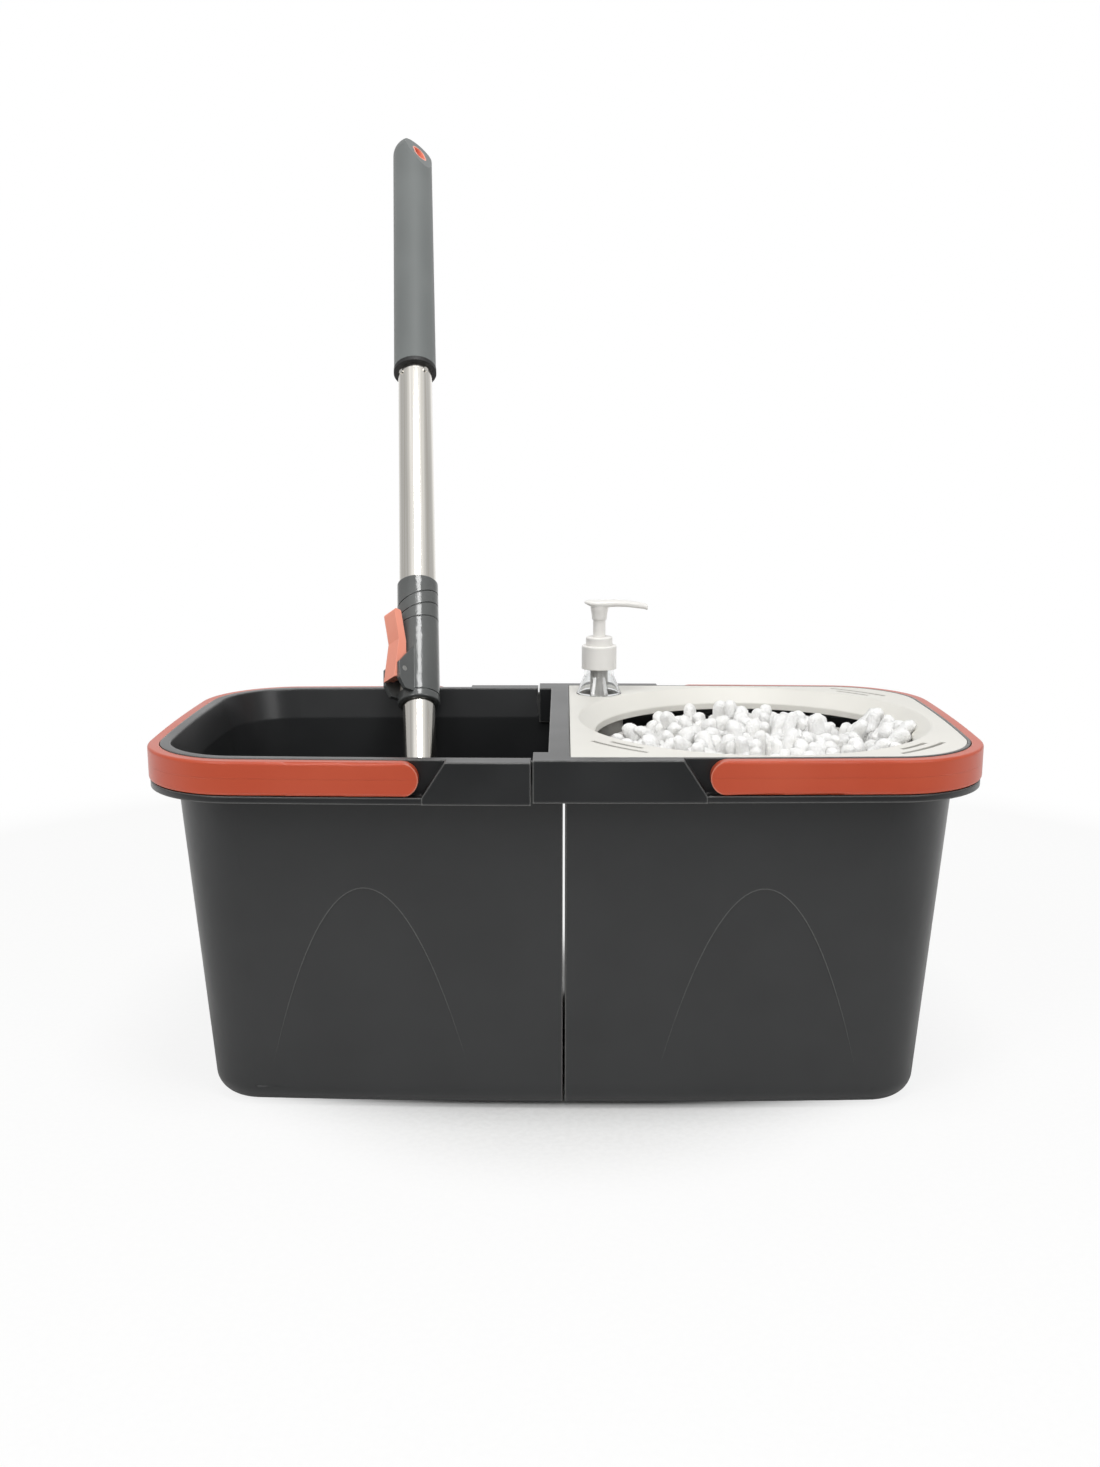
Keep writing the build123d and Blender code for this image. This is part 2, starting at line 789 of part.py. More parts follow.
def eye_bar(growth):
    """Upright oval bar across the tongue, where the hanging eye goes through."""
    oval_face = SlotOverall(eye_length + 2 * growth, eye_width + 2 * growth, rotation=90)
    bar = extrude(Plane.YZ * oval_face, 2 * grip_radius, both=True)
    return Rot(0, 0, grip_tip_turn) * Pos(0, 0, grip_top - eye_drop) * bar


def grip():
    body = grip_envelope() - eye_bar(eye_wall)
    return on_stick(body - rod_at(0, 0, 0, upper_tube_top, upper_tube_radius))


def hang_eye():
    return on_stick((eye_bar(eye_wall) - eye_bar(0)) & grip_envelope())


def grip_end_ring():
    ring = tube_s(grip_bottom - end_ring_height, grip_bottom, end_ring_radius, upper_tube_radius)
    return on_stick(ring)


def nut_carrier():
    high = nut_bottom + carrier_height
    body = tube_s(nut_bottom, high, upper_bore, nut_radius)
    return on_stick(body + tube_s(nut_bottom + nut_height, high, nut_radius + wall, rod_clear))


def drive_nut():
    return on_stick(tube_s(nut_bottom, nut_bottom + nut_height, nut_radius, rod_clear))


def twist_rod():
    low = rod_start + rod_stub_length
    count = math.ceil(2 * (rod_top - low) / rod_pitch)
    length = (rod_top - low) / count
    turn = 360 * length / rod_pitch
    rod = rod_at(0, 0, rod_start, low, rod_stub_radius)
    for i in range(count):
        start = low + i * length
        section = Pos(0, 0, start) * Rot(0, 0, i * turn) * Rectangle(rod_width, rod_thickness)
        rod += Solid.extrude_linear_with_rotation(section.face(), (0, 0, start), (0, 0, length), turn)
    return on_stick(rod)


# Lock collar and lever, on the viewer's left
def at_lever(shape):
    return Rot(0, 0, -lever_turn) * shape


def cheek(side):
    inner = lever_width / 2 + lever_side_gap
    corners = [
        (lower_tube_radius, cheek_bottom),
        (cheek_reach - 2 * wall, cheek_bottom),
        (cheek_reach, cheek_bottom + 3 * wall),
        (cheek_reach, lever_pivot_s + 2 * wall),
        (lower_tube_radius, cheek_top),
    ]
    plate = extrude(profile_xz(corners), cheek_thickness / 2, both=True)
    return Pos(0, side * (inner + cheek_thickness / 2), 0) * plate


def lock_collar():
    body = rod_at(0, 0, collar_bottom, collar_top, collar_radius)
    body = fillet(body.edges().filter_by(GeomType.CIRCLE), tube_wall)
    for side in (-1, 1):
        body += at_lever(cheek(side))
    body -= rod_at(0, 0, collar_step, far, upper_tube_radius)
    body -= rod_at(0, 0, -far, far, lower_tube_radius + slide_clearance)
    body -= at_lever(collar_window())
    for level, tilt in groove_places:
        band = Cylinder(2 * collar_radius, groove_width)
        band -= Cylinder(collar_radius - groove_depth, groove_width)
        body -= Pos(0, 0, level) * Rot(tilt, 0, 0) * band - at_lever(cheek_zone())
    pin_hole = along_y(lever_pivot_reach, -far, far, lever_pivot_s, lever_pin_radius)
    return on_stick(body - at_lever(pin_hole))


def collar_window():
    """Open space between the cheeks, where the lever's foot reaches the shoe."""
    width = lever_width + 2 * lever_side_gap
    height = window_top - shoe_bottom + slide_clearance
    return Pos(collar_radius, 0, window_top - height / 2) * Box(2 * collar_radius, width, height)


def cheek_zone():
    """Block around the cheeks, which the grooves leave alone."""
    width = lever_width + 2 * lever_side_gap + 2 * cheek_thickness
    height = cheek_top - cheek_bottom
    return Pos(cheek_reach, 0, cheek_top - height / 2) * Box(2 * cheek_reach, width, height)


def clamp_shoe():
    """Curved pad that the lever's cam presses on the lower tube."""
    inner = lower_tube_radius + slide_clearance
    pad = tube_s(shoe_bottom, shoe_top, inner + shoe_thickness, inner)
    width = lever_width + 2 * (lever_side_gap - slide_clearance)
    block = Pos(collar_radius, 0, (shoe_bottom + shoe_top) / 2) * Box(2 * collar_radius, width, far)
    reach = lever_pivot_reach - lever_cam_radius - rest_gap
    key = Pos(reach / 2, 0, lever_pivot_s) * Box(reach, shoe_width, lever_cam_radius)
    key -= rod_at(0, 0, -far, far, inner)
    return on_stick(at_lever((pad & block) + key))


def lever_pin():
    half = lever_width / 2 + lever_side_gap + cheek_thickness
    return on_stick(at_lever(along_y(lever_pivot_reach, -half, half, lever_pivot_s, lever_pin_radius)))


def lock_lever():
    """Bent lever: its foot turns about the pin, its thumb end leans away from the collar."""
    inner = collar_radius + 2 * rest_gap
    outer = inner + lever_thickness
    corners = [
        (inner, lever_bend),
        (inner + lever_lean, lever_top),
        (outer + lever_lean, lever_top),
        (outer, lever_bend),
        (outer + lever_lean, lever_pivot_s - lever_tail),
        (lever_pivot_reach, lever_pivot_s - lever_cam_radius),
        (lever_pivot_reach - lever_cam_radius, lever_pivot_s),
    ]
    arm = extrude(profile_xz(corners), lever_width / 2, both=True)
    top_edges = arm.edges().filter_by(Axis.Y).group_by(Axis.Z)[-1]
    arm = fillet(top_edges, lever_thickness / 3)
    cam = along_y(lever_pivot_reach, -lever_width / 2, lever_width / 2, lever_pivot_s, lever_cam_radius)
    hole = along_y(lever_pivot_reach, -far, far, lever_pivot_s, lever_pin_radius + running_clearance)
    return on_stick(at_lever(arm + cam - hole))


# Foot of the stick
def at_pin(shape):
    return on_stick(Pos(0, 0, pin_s) * shape)


def head_fork():
    inner = tongue_width / 2 + fork_side_gap
    outer = inner + prong_thickness
    crown = rod_at(0, 0, crown_bottom, crown_top, outer)
    fork = crown + rod_at(0, 0, crown_top, shank_top, shank_radius)
    prong = along_y(0, inner, outer, 0, prong_radius)
    root = Box(2 * prong_radius, prong_thickness, crown_bottom)
    prong += Pos(0, (inner + outer) / 2, crown_bottom / 2) * root
    fork += prong + mirror(prong, about=Plane.XZ)
    fork &= Sphere(plug_radius) + rod_at(0, 0, 0, far, outer)
    fork -= along_y(0, -far, far, 0, fork_pin_radius)
    return at_pin(fork - rod_at(0, 0, shank_top - rod_stub_length, far, rod_stub_radius))


def fork_clip():
    return at_pin(tube_s(ferrule_seat, ferrule_seat + clip_thickness, clip_radius, shank_radius))


def fork_pin():
    half = tongue_width / 2 + fork_side_gap + prong_thickness - rest_gap
    return at_pin(along_y(0, -half, half, 0, fork_pin_radius))


def head_plug():
    """Knob that clicks into the mop disc, hanging plumb from the fork."""
    eye = prong_radius + rest_gap
    tongue = along_y(0, -tongue_width / 2, tongue_width / 2, 0, eye)
    tongue += Pos(0, 0, -plug_boss_drop / 2) * Box(2 * eye, tongue_width, plug_boss_drop)
    boss = Sphere(plug_radius) & rod_at(0, 0, -far, -plug_boss_drop, plug_boss_radius)
    plug = tongue + boss - along_y(0, -far, far, 0, fork_pin_radius + running_clearance)
    return at_pin(Rot(0, lean_back, 0) * plug)


pieces = {
    "left_bucket": left_bucket(),
    "left_handle": bail(rim_height),
    "right_bucket": right_bucket(),
    "right_handle": mirror(bail(right_rim), about=Plane.YZ),
    "wringer_tray": wringer_tray(),
    "spin_basket": spin_basket(),
    "basket_bearing": basket_bearing(),
    "hub_cap": hub_cap(),
    "pivot_pin": pivot_pin(),
    "thrust_washer": thrust_washer(),
    "mop_disc": mop_disc(),
    "pad_ring": pad_ring(),
    "mop_pad": mop_pad(),
    "soap_bottle": soap_bottle(),
    "neck_gasket": neck_gasket(),
    "pump_housing": pump_housing(),
    "dip_tube": dip_tube(),
    "inlet_ball": inlet_ball(),
    "pump_closure": pump_closure(),
    "pump_chaplet": pump_chaplet(),
    "pump_spring": pump_spring(),
    "pump_stem": pump_stem(),
    "pump_piston": pump_piston(),
    "pump_head": pump_head(),
    "lower_tube": lower_tube(),
    "guide_bush": guide_bush(),
    "foot_ferrule": foot_ferrule(),
    "upper_tube": upper_tube(),
    "grip": grip(),
    "hang_eye": hang_eye(),
    "grip_end_ring": grip_end_ring(),
    "nut_carrier": nut_carrier(),
    "drive_nut": drive_nut(),
    "lock_collar": lock_collar(),
    "clamp_shoe": clamp_shoe(),
    "lever_pin": lever_pin(),
    "lock_lever": lock_lever(),
    "twist_rod": twist_rod(),
    "head_fork": head_fork(),
    "fork_clip": fork_clip(),
    "fork_pin": fork_pin(),
    "head_plug": head_plug(),
}
for side, button in zip(("left", "right"), buttons()):
    pieces[f"snap_button_{side}"] = on_stick(button)

os.makedirs("parts", exist_ok=True)
for name, shape in pieces.items():
    shape = Pos(origin_to_joint, 0, 0) * shape
    export_step(shape, f"parts/{name}.step")
    box = shape.bounding_box()
    print(name, len(shape.solids()), [round(v, 1) for v in (*box.min, *box.max)])
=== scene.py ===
# %% [markdown]
# # A spin mop set
#
# Two charcoal buckets hook together side by side. The right one holds a pale wringer tray, a
# spin basket with the mop head in it and a soap pump. The telescopic stick leans in the left
# one. The solids come from the CAD frame at their real size. This lesson gives each of them
# its finish, and models the few pieces that a solid can't show well: the strands of the mop
# head and the moulded pump head.

# %% Load the frame
import math
import random

import bpy
from mathutils import Euler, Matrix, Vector, noise


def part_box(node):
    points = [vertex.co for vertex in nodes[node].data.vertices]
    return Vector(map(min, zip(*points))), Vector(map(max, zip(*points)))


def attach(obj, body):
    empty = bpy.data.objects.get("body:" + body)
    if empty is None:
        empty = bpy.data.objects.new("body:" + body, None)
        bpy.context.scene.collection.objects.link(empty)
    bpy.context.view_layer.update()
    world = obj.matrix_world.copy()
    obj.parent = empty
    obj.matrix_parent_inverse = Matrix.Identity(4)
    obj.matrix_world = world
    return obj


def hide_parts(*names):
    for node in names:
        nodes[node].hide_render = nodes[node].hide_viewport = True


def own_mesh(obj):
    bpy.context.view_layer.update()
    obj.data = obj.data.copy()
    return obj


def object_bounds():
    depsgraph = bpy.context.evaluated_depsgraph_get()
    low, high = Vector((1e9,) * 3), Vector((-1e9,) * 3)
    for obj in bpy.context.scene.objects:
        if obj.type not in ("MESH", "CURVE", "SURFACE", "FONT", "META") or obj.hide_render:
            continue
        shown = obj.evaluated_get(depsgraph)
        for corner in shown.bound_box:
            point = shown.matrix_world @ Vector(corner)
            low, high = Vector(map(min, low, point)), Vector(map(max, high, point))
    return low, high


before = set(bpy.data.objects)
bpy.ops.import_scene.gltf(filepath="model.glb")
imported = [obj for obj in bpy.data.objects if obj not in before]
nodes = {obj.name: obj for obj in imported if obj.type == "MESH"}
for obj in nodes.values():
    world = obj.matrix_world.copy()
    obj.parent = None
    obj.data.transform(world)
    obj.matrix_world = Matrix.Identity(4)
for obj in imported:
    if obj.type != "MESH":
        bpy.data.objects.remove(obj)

cad_low, cad_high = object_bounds()

# %% [markdown]
# ## Camera
#
# The photograph was taken from the front, a little above the rims. The lens and the place of
# the camera were fitted to the rim's outline, the walls and the stick, so the picture and the
# model share one perspective. Lengths are written in millimetres and turned into Blender's
# metres by one constant.

# %% Camera
MM = 0.001
IMAGE_HEIGHT_PX = 1467
FOCAL_PX = 1427.3
SENSOR_MM = 36.0
CAMERA_PLACE_MM = (130.1, -942.4, 421.8)
CAMERA_PITCH_DOWN = 0.2069
CAMERA_YAW = 0.0092

camera_data = bpy.data.cameras.new("front_camera")
camera_data.sensor_width = SENSOR_MM
camera_data.lens = FOCAL_PX * SENSOR_MM / IMAGE_HEIGHT_PX
camera = bpy.data.objects.new("front_camera", camera_data)
camera.location = Vector(CAMERA_PLACE_MM) * MM
camera.rotation_euler = Euler((math.pi / 2 - CAMERA_PITCH_DOWN, 0.0, CAMERA_YAW))
bpy.context.scene.collection.objects.link(camera)
bpy.context.scene.camera = camera
bpy.context.scene.view_settings.view_transform = "Standard"
print("lens, mm:", round(camera_data.lens, 2))

# %% [markdown]
# ## Colours and nodes
#
# Colours are picked as sRGB hex values, as they look on a screen. Shaders work in linear
# light, so one function converts them. A second small function adds a node, sets its fields
# and joins its inputs, which keeps each material below short enough to read.

# %% Colour and node helpers
def linear(hex_colour):
    channels = [int(hex_colour[i:i + 2], 16) / 255 for i in (1, 3, 5)]
    curve = [
        c / 12.92 if c <= 0.04045 else ((c + 0.055) / 1.055) ** 2.4
        for c in channels
    ]
    return (*curve, 1.0)


def add(tree, kind, fields=None, inputs=None):
    """Adds one node, sets its fields, and sets or links its inputs."""
    node = tree.nodes.new(kind)
    for name, value in (fields or {}).items():
        setattr(node, name, value)
    for name, value in (inputs or {}).items():
        if isinstance(value, bpy.types.NodeSocket):
            tree.links.new(value, node.inputs[name])
        else:
            node.inputs[name].default_value = value
    return node


def new_material(name, **sockets):
    """A material with one Principled shader, whose plain values are set on its own sockets."""
    material = bpy.data.materials.new(name)
    material.use_nodes = True
    tree = material.node_tree
    shader = tree.nodes["Principled BSDF"]
    for socket, value in sockets.items():
        shader.inputs[socket.replace("_", " ")].default_value = value
    return material, tree, shader


PATTERN_MIDDLE = (0.3, 0.7)


def spread(tree, fac, dark, light):
    """Colour ramp between two hex colours, over the middle of a pattern's range."""
    ramp = add(tree, "ShaderNodeValToRGB", None, {"Fac": fac})
    ramp.color_ramp.interpolation = "EASE"
    ramp.color_ramp.elements[0].position = PATTERN_MIDDLE[0]
    ramp.color_ramp.elements[0].color = linear(dark)
    ramp.color_ramp.elements[1].position = PATTERN_MIDDLE[1]
    ramp.color_ramp.elements[1].color = linear(light)
    return ramp.outputs["Color"]


def paint(material, *names):
    for name in names:
        mesh = nodes[name].data
        mesh.materials.clear()
        mesh.materials.append(material)


# %% [markdown]
# ## Floor and light
#
# The object stands on a plain white sheet. Near the object the sheet is an ordinary matt
# surface, so it takes a soft shadow. Further out it turns to an even white that meets the
# world's white, so no horizon shows. The lit part of the sheet ends a little way in front of
# the buckets, so what their walls mirror grows darker from the foot of the wall to the rim.
# Three large soft boxes light the set, and the world fills in. What shines mirrors a white
# room that is dimmer towards its sides and behind the camera, which gives tubes their darker
# flanks.

# %% Floor
FLOOR_RADIUS_MM = 9000.0
SHEET_FADE_MM = (430.0, 900.0)
SHEET_LIFT_MM = (120.0, 240.0)
SHEET_WHITE_SHARE = 0.85
SHEET_CENTRE_MM = (131.0, 20.0, 0.0)
SHEET_FIBRE_MM = 4.0
SHEET_BELOW_MM = 0.2
DARK_FRONT_MM = (150.0, 720.0)
DARK_FRONT_LEVEL = 0.04

floor_material, tree, shader = new_material(
    "white_paper_sheet", Roughness=0.9, Specular_IOR_Level=0.1
)
place = add(tree, "ShaderNodeNewGeometry").outputs["Position"]
reach = add(tree, "ShaderNodeVectorMath", {"operation": "DISTANCE"}, {0: place})
reach.inputs[1].default_value = Vector(SHEET_CENTRE_MM) * MM
fade = add(tree, "ShaderNodeMapRange", {"interpolation_type": "SMOOTHSTEP"}, {
    "Value": reach.outputs["Value"],
    "From Min": SHEET_FADE_MM[0] * MM,
    "From Max": SHEET_FADE_MM[1] * MM,
})
fibre = add(tree, "ShaderNodeTexNoise", None, {
    "Vector": place,
    "Scale": 1 / (SHEET_FIBRE_MM * MM),
    "Detail": 3.0,
})
paper_white = spread(tree, fibre.outputs["Fac"], "#F4F4F3", "#FAFAF9")
tree.links.new(paper_white, shader.inputs["Base Color"])
rays = add(tree, "ShaderNodeLightPath")
front = add(tree, "ShaderNodeMapRange", {"interpolation_type": "SMOOTHSTEP"}, {
    "Value": add(tree, "ShaderNodeSeparateXYZ", None, {"Vector": place}).outputs["Y"],
    "From Min": cad_low[1] - DARK_FRONT_MM[0] * MM,
    "From Max": cad_low[1] - DARK_FRONT_MM[1] * MM,
})
mirrored = add(tree, "ShaderNodeMath", {"operation": "MULTIPLY"}, {
    0: rays.outputs["Is Glossy Ray"],
    1: front.outputs["Result"],
})
strength = add(tree, "ShaderNodeMapRange", None, {
    "Value": mirrored.outputs["Value"],
    "To Min": 1.0,
    "To Max": DARK_FRONT_LEVEL,
})
glow = add(tree, "ShaderNodeEmission", None, {
    "Color": (1.0, 1.0, 1.0, 1.0),
    "Strength": strength.outputs["Result"],
})
lift = add(tree, "ShaderNodeMapRange", {"interpolation_type": "SMOOTHSTEP"}, {
    "Value": reach.outputs["Value"],
    "From Min": SHEET_LIFT_MM[0] * MM,
    "From Max": SHEET_LIFT_MM[1] * MM,
    "To Max": SHEET_WHITE_SHARE,
})
lifted = add(tree, "ShaderNodeMath", {"operation": "MULTIPLY"}, {
    0: rays.outputs["Is Camera Ray"],
    1: lift.outputs["Result"],
})
lifted = add(tree, "ShaderNodeMath", {"operation": "MAXIMUM"}, {
    0: lifted.outputs["Value"],
    1: fade.outputs["Result"],
})
lifted = add(tree, "ShaderNodeMath", {"operation": "MAXIMUM"}, {
    0: lifted.outputs["Value"],
    1: mirrored.outputs["Value"],
})
blend = add(tree, "ShaderNodeMixShader", None, {
    0: lifted.outputs["Value"],
    1: shader.outputs["BSDF"],
    2: glow.outputs["Emission"],
})
tree.links.new(blend.outputs["Shader"], tree.nodes["Material Output"].inputs["Surface"])

RIM_POINTS = 96
ring = [2 * math.pi * i / RIM_POINTS for i in range(RIM_POINTS)]
floor_mesh = bpy.data.meshes.new("paper_sheet")
floor_mesh.from_pydata(
    [Vector((math.cos(a), math.sin(a), 0.0)) * FLOOR_RADIUS_MM * MM for a in ring],
    [],
    [list(range(RIM_POINTS))],
)
floor = bpy.data.objects.new("paper_sheet", floor_mesh)
floor.location.z = cad_low[2] - SHEET_BELOW_MM * MM
floor_mesh.materials.append(floor_material)
bpy.context.scene.collection.objects.link(floor)
print("sheet radius, mm:", FLOOR_RADIUS_MM)

# %% Lamps and world
SOFT_BOXES = {
    "key_box": ((-900, -1300, 1500), 700, 9.5),
    "fill_box": ((1300, -1200, 1100), 700, 5.0),
    "top_box": ((250, -450, 1950), 600, 15.0),
}
AIM_MM = (131.0, 60.0, 240.0)
WORLD_FILL = 0.42
ROOM_FRONT = 0.3
ROOM_SIDES = 0.5
ROOM_FRONT_Y = (-0.9, 0.1)
ROOM_TOP_Z = (0.35, 0.75)
ROOM_SIDES_X = (0.35, 0.8)

for name, (spot, width, watts) in SOFT_BOXES.items():
    lamp = bpy.data.lights.new(name, "AREA")
    lamp.shape = "SQUARE"
    lamp.size = width * MM
    lamp.energy = watts
    holder = bpy.data.objects.new(name, lamp)
    holder.location = Vector(spot) * MM
    gaze = Vector(AIM_MM) * MM - holder.location
    holder.rotation_euler = gaze.to_track_quat("-Z", "Y").to_euler()
    bpy.context.scene.collection.objects.link(holder)

world = bpy.data.worlds.new("white_studio")
bpy.context.scene.world = world
world.use_nodes = True
tree = world.node_tree
rays = add(tree, "ShaderNodeLightPath")
seen = add(tree, "ShaderNodeMath", {"operation": "MAXIMUM"}, {
    0: rays.outputs["Is Camera Ray"],
    1: rays.outputs["Is Transmission Ray"],
})
plain = add(tree, "ShaderNodeMapRange", None, {
    "Value": seen.outputs["Value"],
    "To Min": WORLD_FILL,
    "To Max": 1.0,
})
gaze = add(tree, "ShaderNodeTexCoord").outputs["Generated"]
gaze = add(tree, "ShaderNodeSeparateXYZ", None, {"Vector": gaze})
behind = add(tree, "ShaderNodeMapRange", {"interpolation_type": "SMOOTHSTEP"}, {
    "Value": gaze.outputs["Y"],
    "From Min": ROOM_FRONT_Y[0],
    "From Max": ROOM_FRONT_Y[1],
    "To Min": ROOM_FRONT,
    "To Max": 1.0,
})
above = add(tree, "ShaderNodeMapRange", {"interpolation_type": "SMOOTHSTEP"}, {
    "Value": gaze.outputs["Z"],
    "From Min": ROOM_TOP_Z[0],
    "From Max": ROOM_TOP_Z[1],
})
bright = add(tree, "ShaderNodeMath", {"operation": "MAXIMUM"}, {
    0: behind.outputs["Result"],
    1: above.outputs["Result"],
})
aside = add(tree, "ShaderNodeMath", {"operation": "ABSOLUTE"}, {0: gaze.outputs["X"]})
aside = add(tree, "ShaderNodeMapRange", {"interpolation_type": "SMOOTHSTEP"}, {
    "Value": aside.outputs["Value"],
    "From Min": ROOM_SIDES_X[0],
    "From Max": ROOM_SIDES_X[1],
    "To Min": 1.0,
    "To Max": ROOM_SIDES,
})
room = add(tree, "ShaderNodeMath", {"operation": "MULTIPLY"}, {
    0: bright.outputs["Value"],
    1: aside.outputs["Result"],
})
level = add(tree, "ShaderNodeMix", None, {
    "Factor": rays.outputs["Is Glossy Ray"],
    "A": plain.outputs["Result"],
    "B": room.outputs["Value"],
})
backdrop = tree.nodes["Background"]
backdrop.inputs["Color"].default_value = (1.0, 1.0, 1.0, 1.0)
tree.links.new(level.outputs[0], backdrop.inputs["Strength"])
print("soft boxes:", len(SOFT_BOXES))

# %% [markdown]
# ## Charcoal polypropylene
#
# The buckets are injection moulded in dark grey polypropylene. The mould gives a satin face
# with a very fine spark-eroded grain, and the plastic flows a little unevenly, which shows as
# slow changes of shade and gloss. Seen flat along a rim it mirrors the white room, so no pale
# paint is needed there. Moulded edges are never knife sharp: the Bevel node rounds the way
# they catch the light, and outer edges get a painted highlight, a paler colour that stands in
# for the light they catch. An Ambient Occlusion node that looks inwards finds those edges.

# %% Charcoal polypropylene
GRAIN_MM = 0.9
FLOW_MM = 70.0
MOULD_EDGE_MM = 0.7
BUCKET_EDGE_MM = 2.2
# Painted highlight: width of the pale band on convex edges, and the AO range that marks it.
PAINTED_HIGHLIGHT_EDGE_MM = 1.4
PAINTED_HIGHLIGHT_AO_RANGE = (0.76, 0.46)
GRAIN_DEPTH_MM = 0.02
GRAIN_STRENGTH = 0.12


def moulded_plastic(
    name, dark, light, rough_low, rough_high,
    grain=GRAIN_MM, depth=GRAIN_DEPTH_MM, edge=MOULD_EDGE_MM, painted_edge_highlight=None, **sockets
):
    """Moulded plastic: slow flow marks in colour and gloss, a fine grain, soft edges and, if a
    colour is given, a painted edge highlight.
    """
    material, tree, shader = new_material(name, **sockets)
    coords = add(tree, "ShaderNodeTexCoord").outputs["Object"]
    flow, fine = (
        add(tree, "ShaderNodeTexNoise", None, {
            "Vector": coords,
            "Scale": 1 / (size * MM),
            "Detail": 2.0,
        })
        for size in (FLOW_MM, grain)
    )
    colour = spread(tree, flow.outputs["Fac"], dark, light)
    if painted_edge_highlight:
        # Painted highlight: an inward-looking AO node finds convex edges, which get a paler
        # colour that stands in for the light they catch.
        inward = {"samples": 6, "inside": True, "only_local": True}
        thin = add(tree, "ShaderNodeAmbientOcclusion", inward, {"Distance": PAINTED_HIGHLIGHT_EDGE_MM * MM})
        painted_highlight_mask = add(tree, "ShaderNodeMapRange", None, {
            "Value": thin.outputs["AO"],
            "From Min": PAINTED_HIGHLIGHT_AO_RANGE[0],
            "From Max": PAINTED_HIGHLIGHT_AO_RANGE[1],
        })
        mix = add(tree, "ShaderNodeMix", {"data_type": "RGBA"}, {
            "Factor": painted_highlight_mask.outputs["Result"],
            6: colour,
            7: linear(painted_edge_highlight),
        })
        colour = mix.outputs[2]
    tree.links.new(colour, shader.inputs["Base Color"])
    gloss = add(tree, "ShaderNodeMapRange", None, {
        "Value": flow.outputs["Fac"],
        "From Min": PATTERN_MIDDLE[0],
        "From Max": PATTERN_MIDDLE[1],
        "To Min": rough_low,
        "To Max": rough_high,
    })
    tree.links.new(gloss.outputs["Result"], shader.inputs["Roughness"])
    edge = add(tree, "ShaderNodeBevel", {"samples": 6}, {"Radius": edge * MM})
    skin = add(tree, "ShaderNodeBump", None, {
        "Strength": GRAIN_STRENGTH,
        "Distance": depth * MM,
        "Height": fine.outputs["Fac"],
        "Normal": edge.outputs["Normal"],
    })
    tree.links.new(skin.outputs["Normal"], shader.inputs["Normal"])
    return material, tree, shader, skin


# The pale #7C7C7A on the outer edges is a painted highlight.
charcoal, *_ = moulded_plastic(
    "moulded_charcoal_polypropylene", "#232425", "#292A2B", 0.285, 0.36,
    edge=BUCKET_EDGE_MM, painted_edge_highlight="#7C7C7A", IOR=1.5,
)
paint(charcoal, "left_bucket", "right_bucket")
print("made:", charcoal.name)

# %% [markdown]
# ## Coral polypropylene
#
# The carrying handles are coral, moulded in two halves of a tool, and a hair-thin parting
# line runs round each at half height. The line is drawn as a narrow dip in the bump at that
# height. Their outer edges carry a painted highlight in a paler coral. The lock lever and the
# lining of the hanging eye are a lighter, pinker coral.

# %% Coral polypropylene
PARTING_LINE_MM = 0.5
PARTING_DEPTH_MM = 0.2
HANDLE_EDGE_MM = 1.8


def coral_handle(name, node):
    low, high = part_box(node)
    # The pale #E29680 on the handles' outer edges is a painted highlight.
    material, tree, shader, skin = moulded_plastic(
        name, "#BA492C", "#C05032", 0.285, 0.36, edge=HANDLE_EDGE_MM, painted_edge_highlight="#E29680", IOR=1.49
    )
    middle = (low.z + high.z) / 2
    coords = add(tree, "ShaderNodeTexCoord").outputs["Object"]
    height = add(tree, "ShaderNodeSeparateXYZ", None, {"Vector": coords}).outputs["Z"]
    line = add(tree, "ShaderNodeMath", {"operation": "COMPARE"}, {
        0: height,
        1: middle,
        2: PARTING_LINE_MM / 2 * MM,
    })
    dip = add(tree, "ShaderNodeBump", {"invert": True}, {
        "Strength": 0.8,
        "Distance": PARTING_DEPTH_MM * MM,
        "Height": line.outputs["Value"],
        "Normal": skin.outputs["Normal"],
    })
    tree.links.new(dip.outputs["Normal"], shader.inputs["Normal"])
    paint(material, node)
    print(name, "parting line at, mm:", round(middle / MM, 1))


coral_handle("moulded_coral_polypropylene_left", "left_handle")
coral_handle("moulded_coral_polypropylene_right", "right_handle")
lever_coral, *_ = moulded_plastic(
    "moulded_light_coral_abs", "#F79A81", "#FBA58D", 0.285, 0.36, IOR=1.53
)
paint(lever_coral, "lock_lever", "hang_eye")

# %% [markdown]
# ## Pale plastics
#
# The wringer tray and the spin basket are a warm pale grey, and the pump is plain white. All
# three are satin polypropylene. The inner working parts, such as bushes and nuts, are milky
# acetal.

# %% Pale plastics
tray_plastic, *_ = moulded_plastic(
    "moulded_pale_grey_polypropylene", "#DFDDD6", "#E5E3DC", 0.38, 0.5, IOR=1.49
)
paint(tray_plastic, "wringer_tray")
basket_plastic, *_ = moulded_plastic(
    "moulded_light_grey_polypropylene", "#CFCCC8", "#D6D3CF", 0.36, 0.48, IOR=1.49
)
paint(basket_plastic, "spin_basket", "hub_cap")
pump_plastic, *_ = moulded_plastic(
    "moulded_white_polypropylene", "#EAE8E4", "#F0EEEA", 0.28, 0.4, IOR=1.49
)
paint(
    pump_plastic, "pump_closure", "pump_chaplet", "pump_stem", "pump_head", "pump_housing",
    "dip_tube", "pad_ring",
)
acetal, *_ = moulded_plastic(
    "moulded_milky_acetal", "#E3E0D4", "#EAE7DC", 0.3, 0.4, IOR=1.48
)
paint(
    acetal, "basket_bearing", "thrust_washer", "guide_bush", "nut_carrier", "clamp_shoe",
    "pump_piston",
)
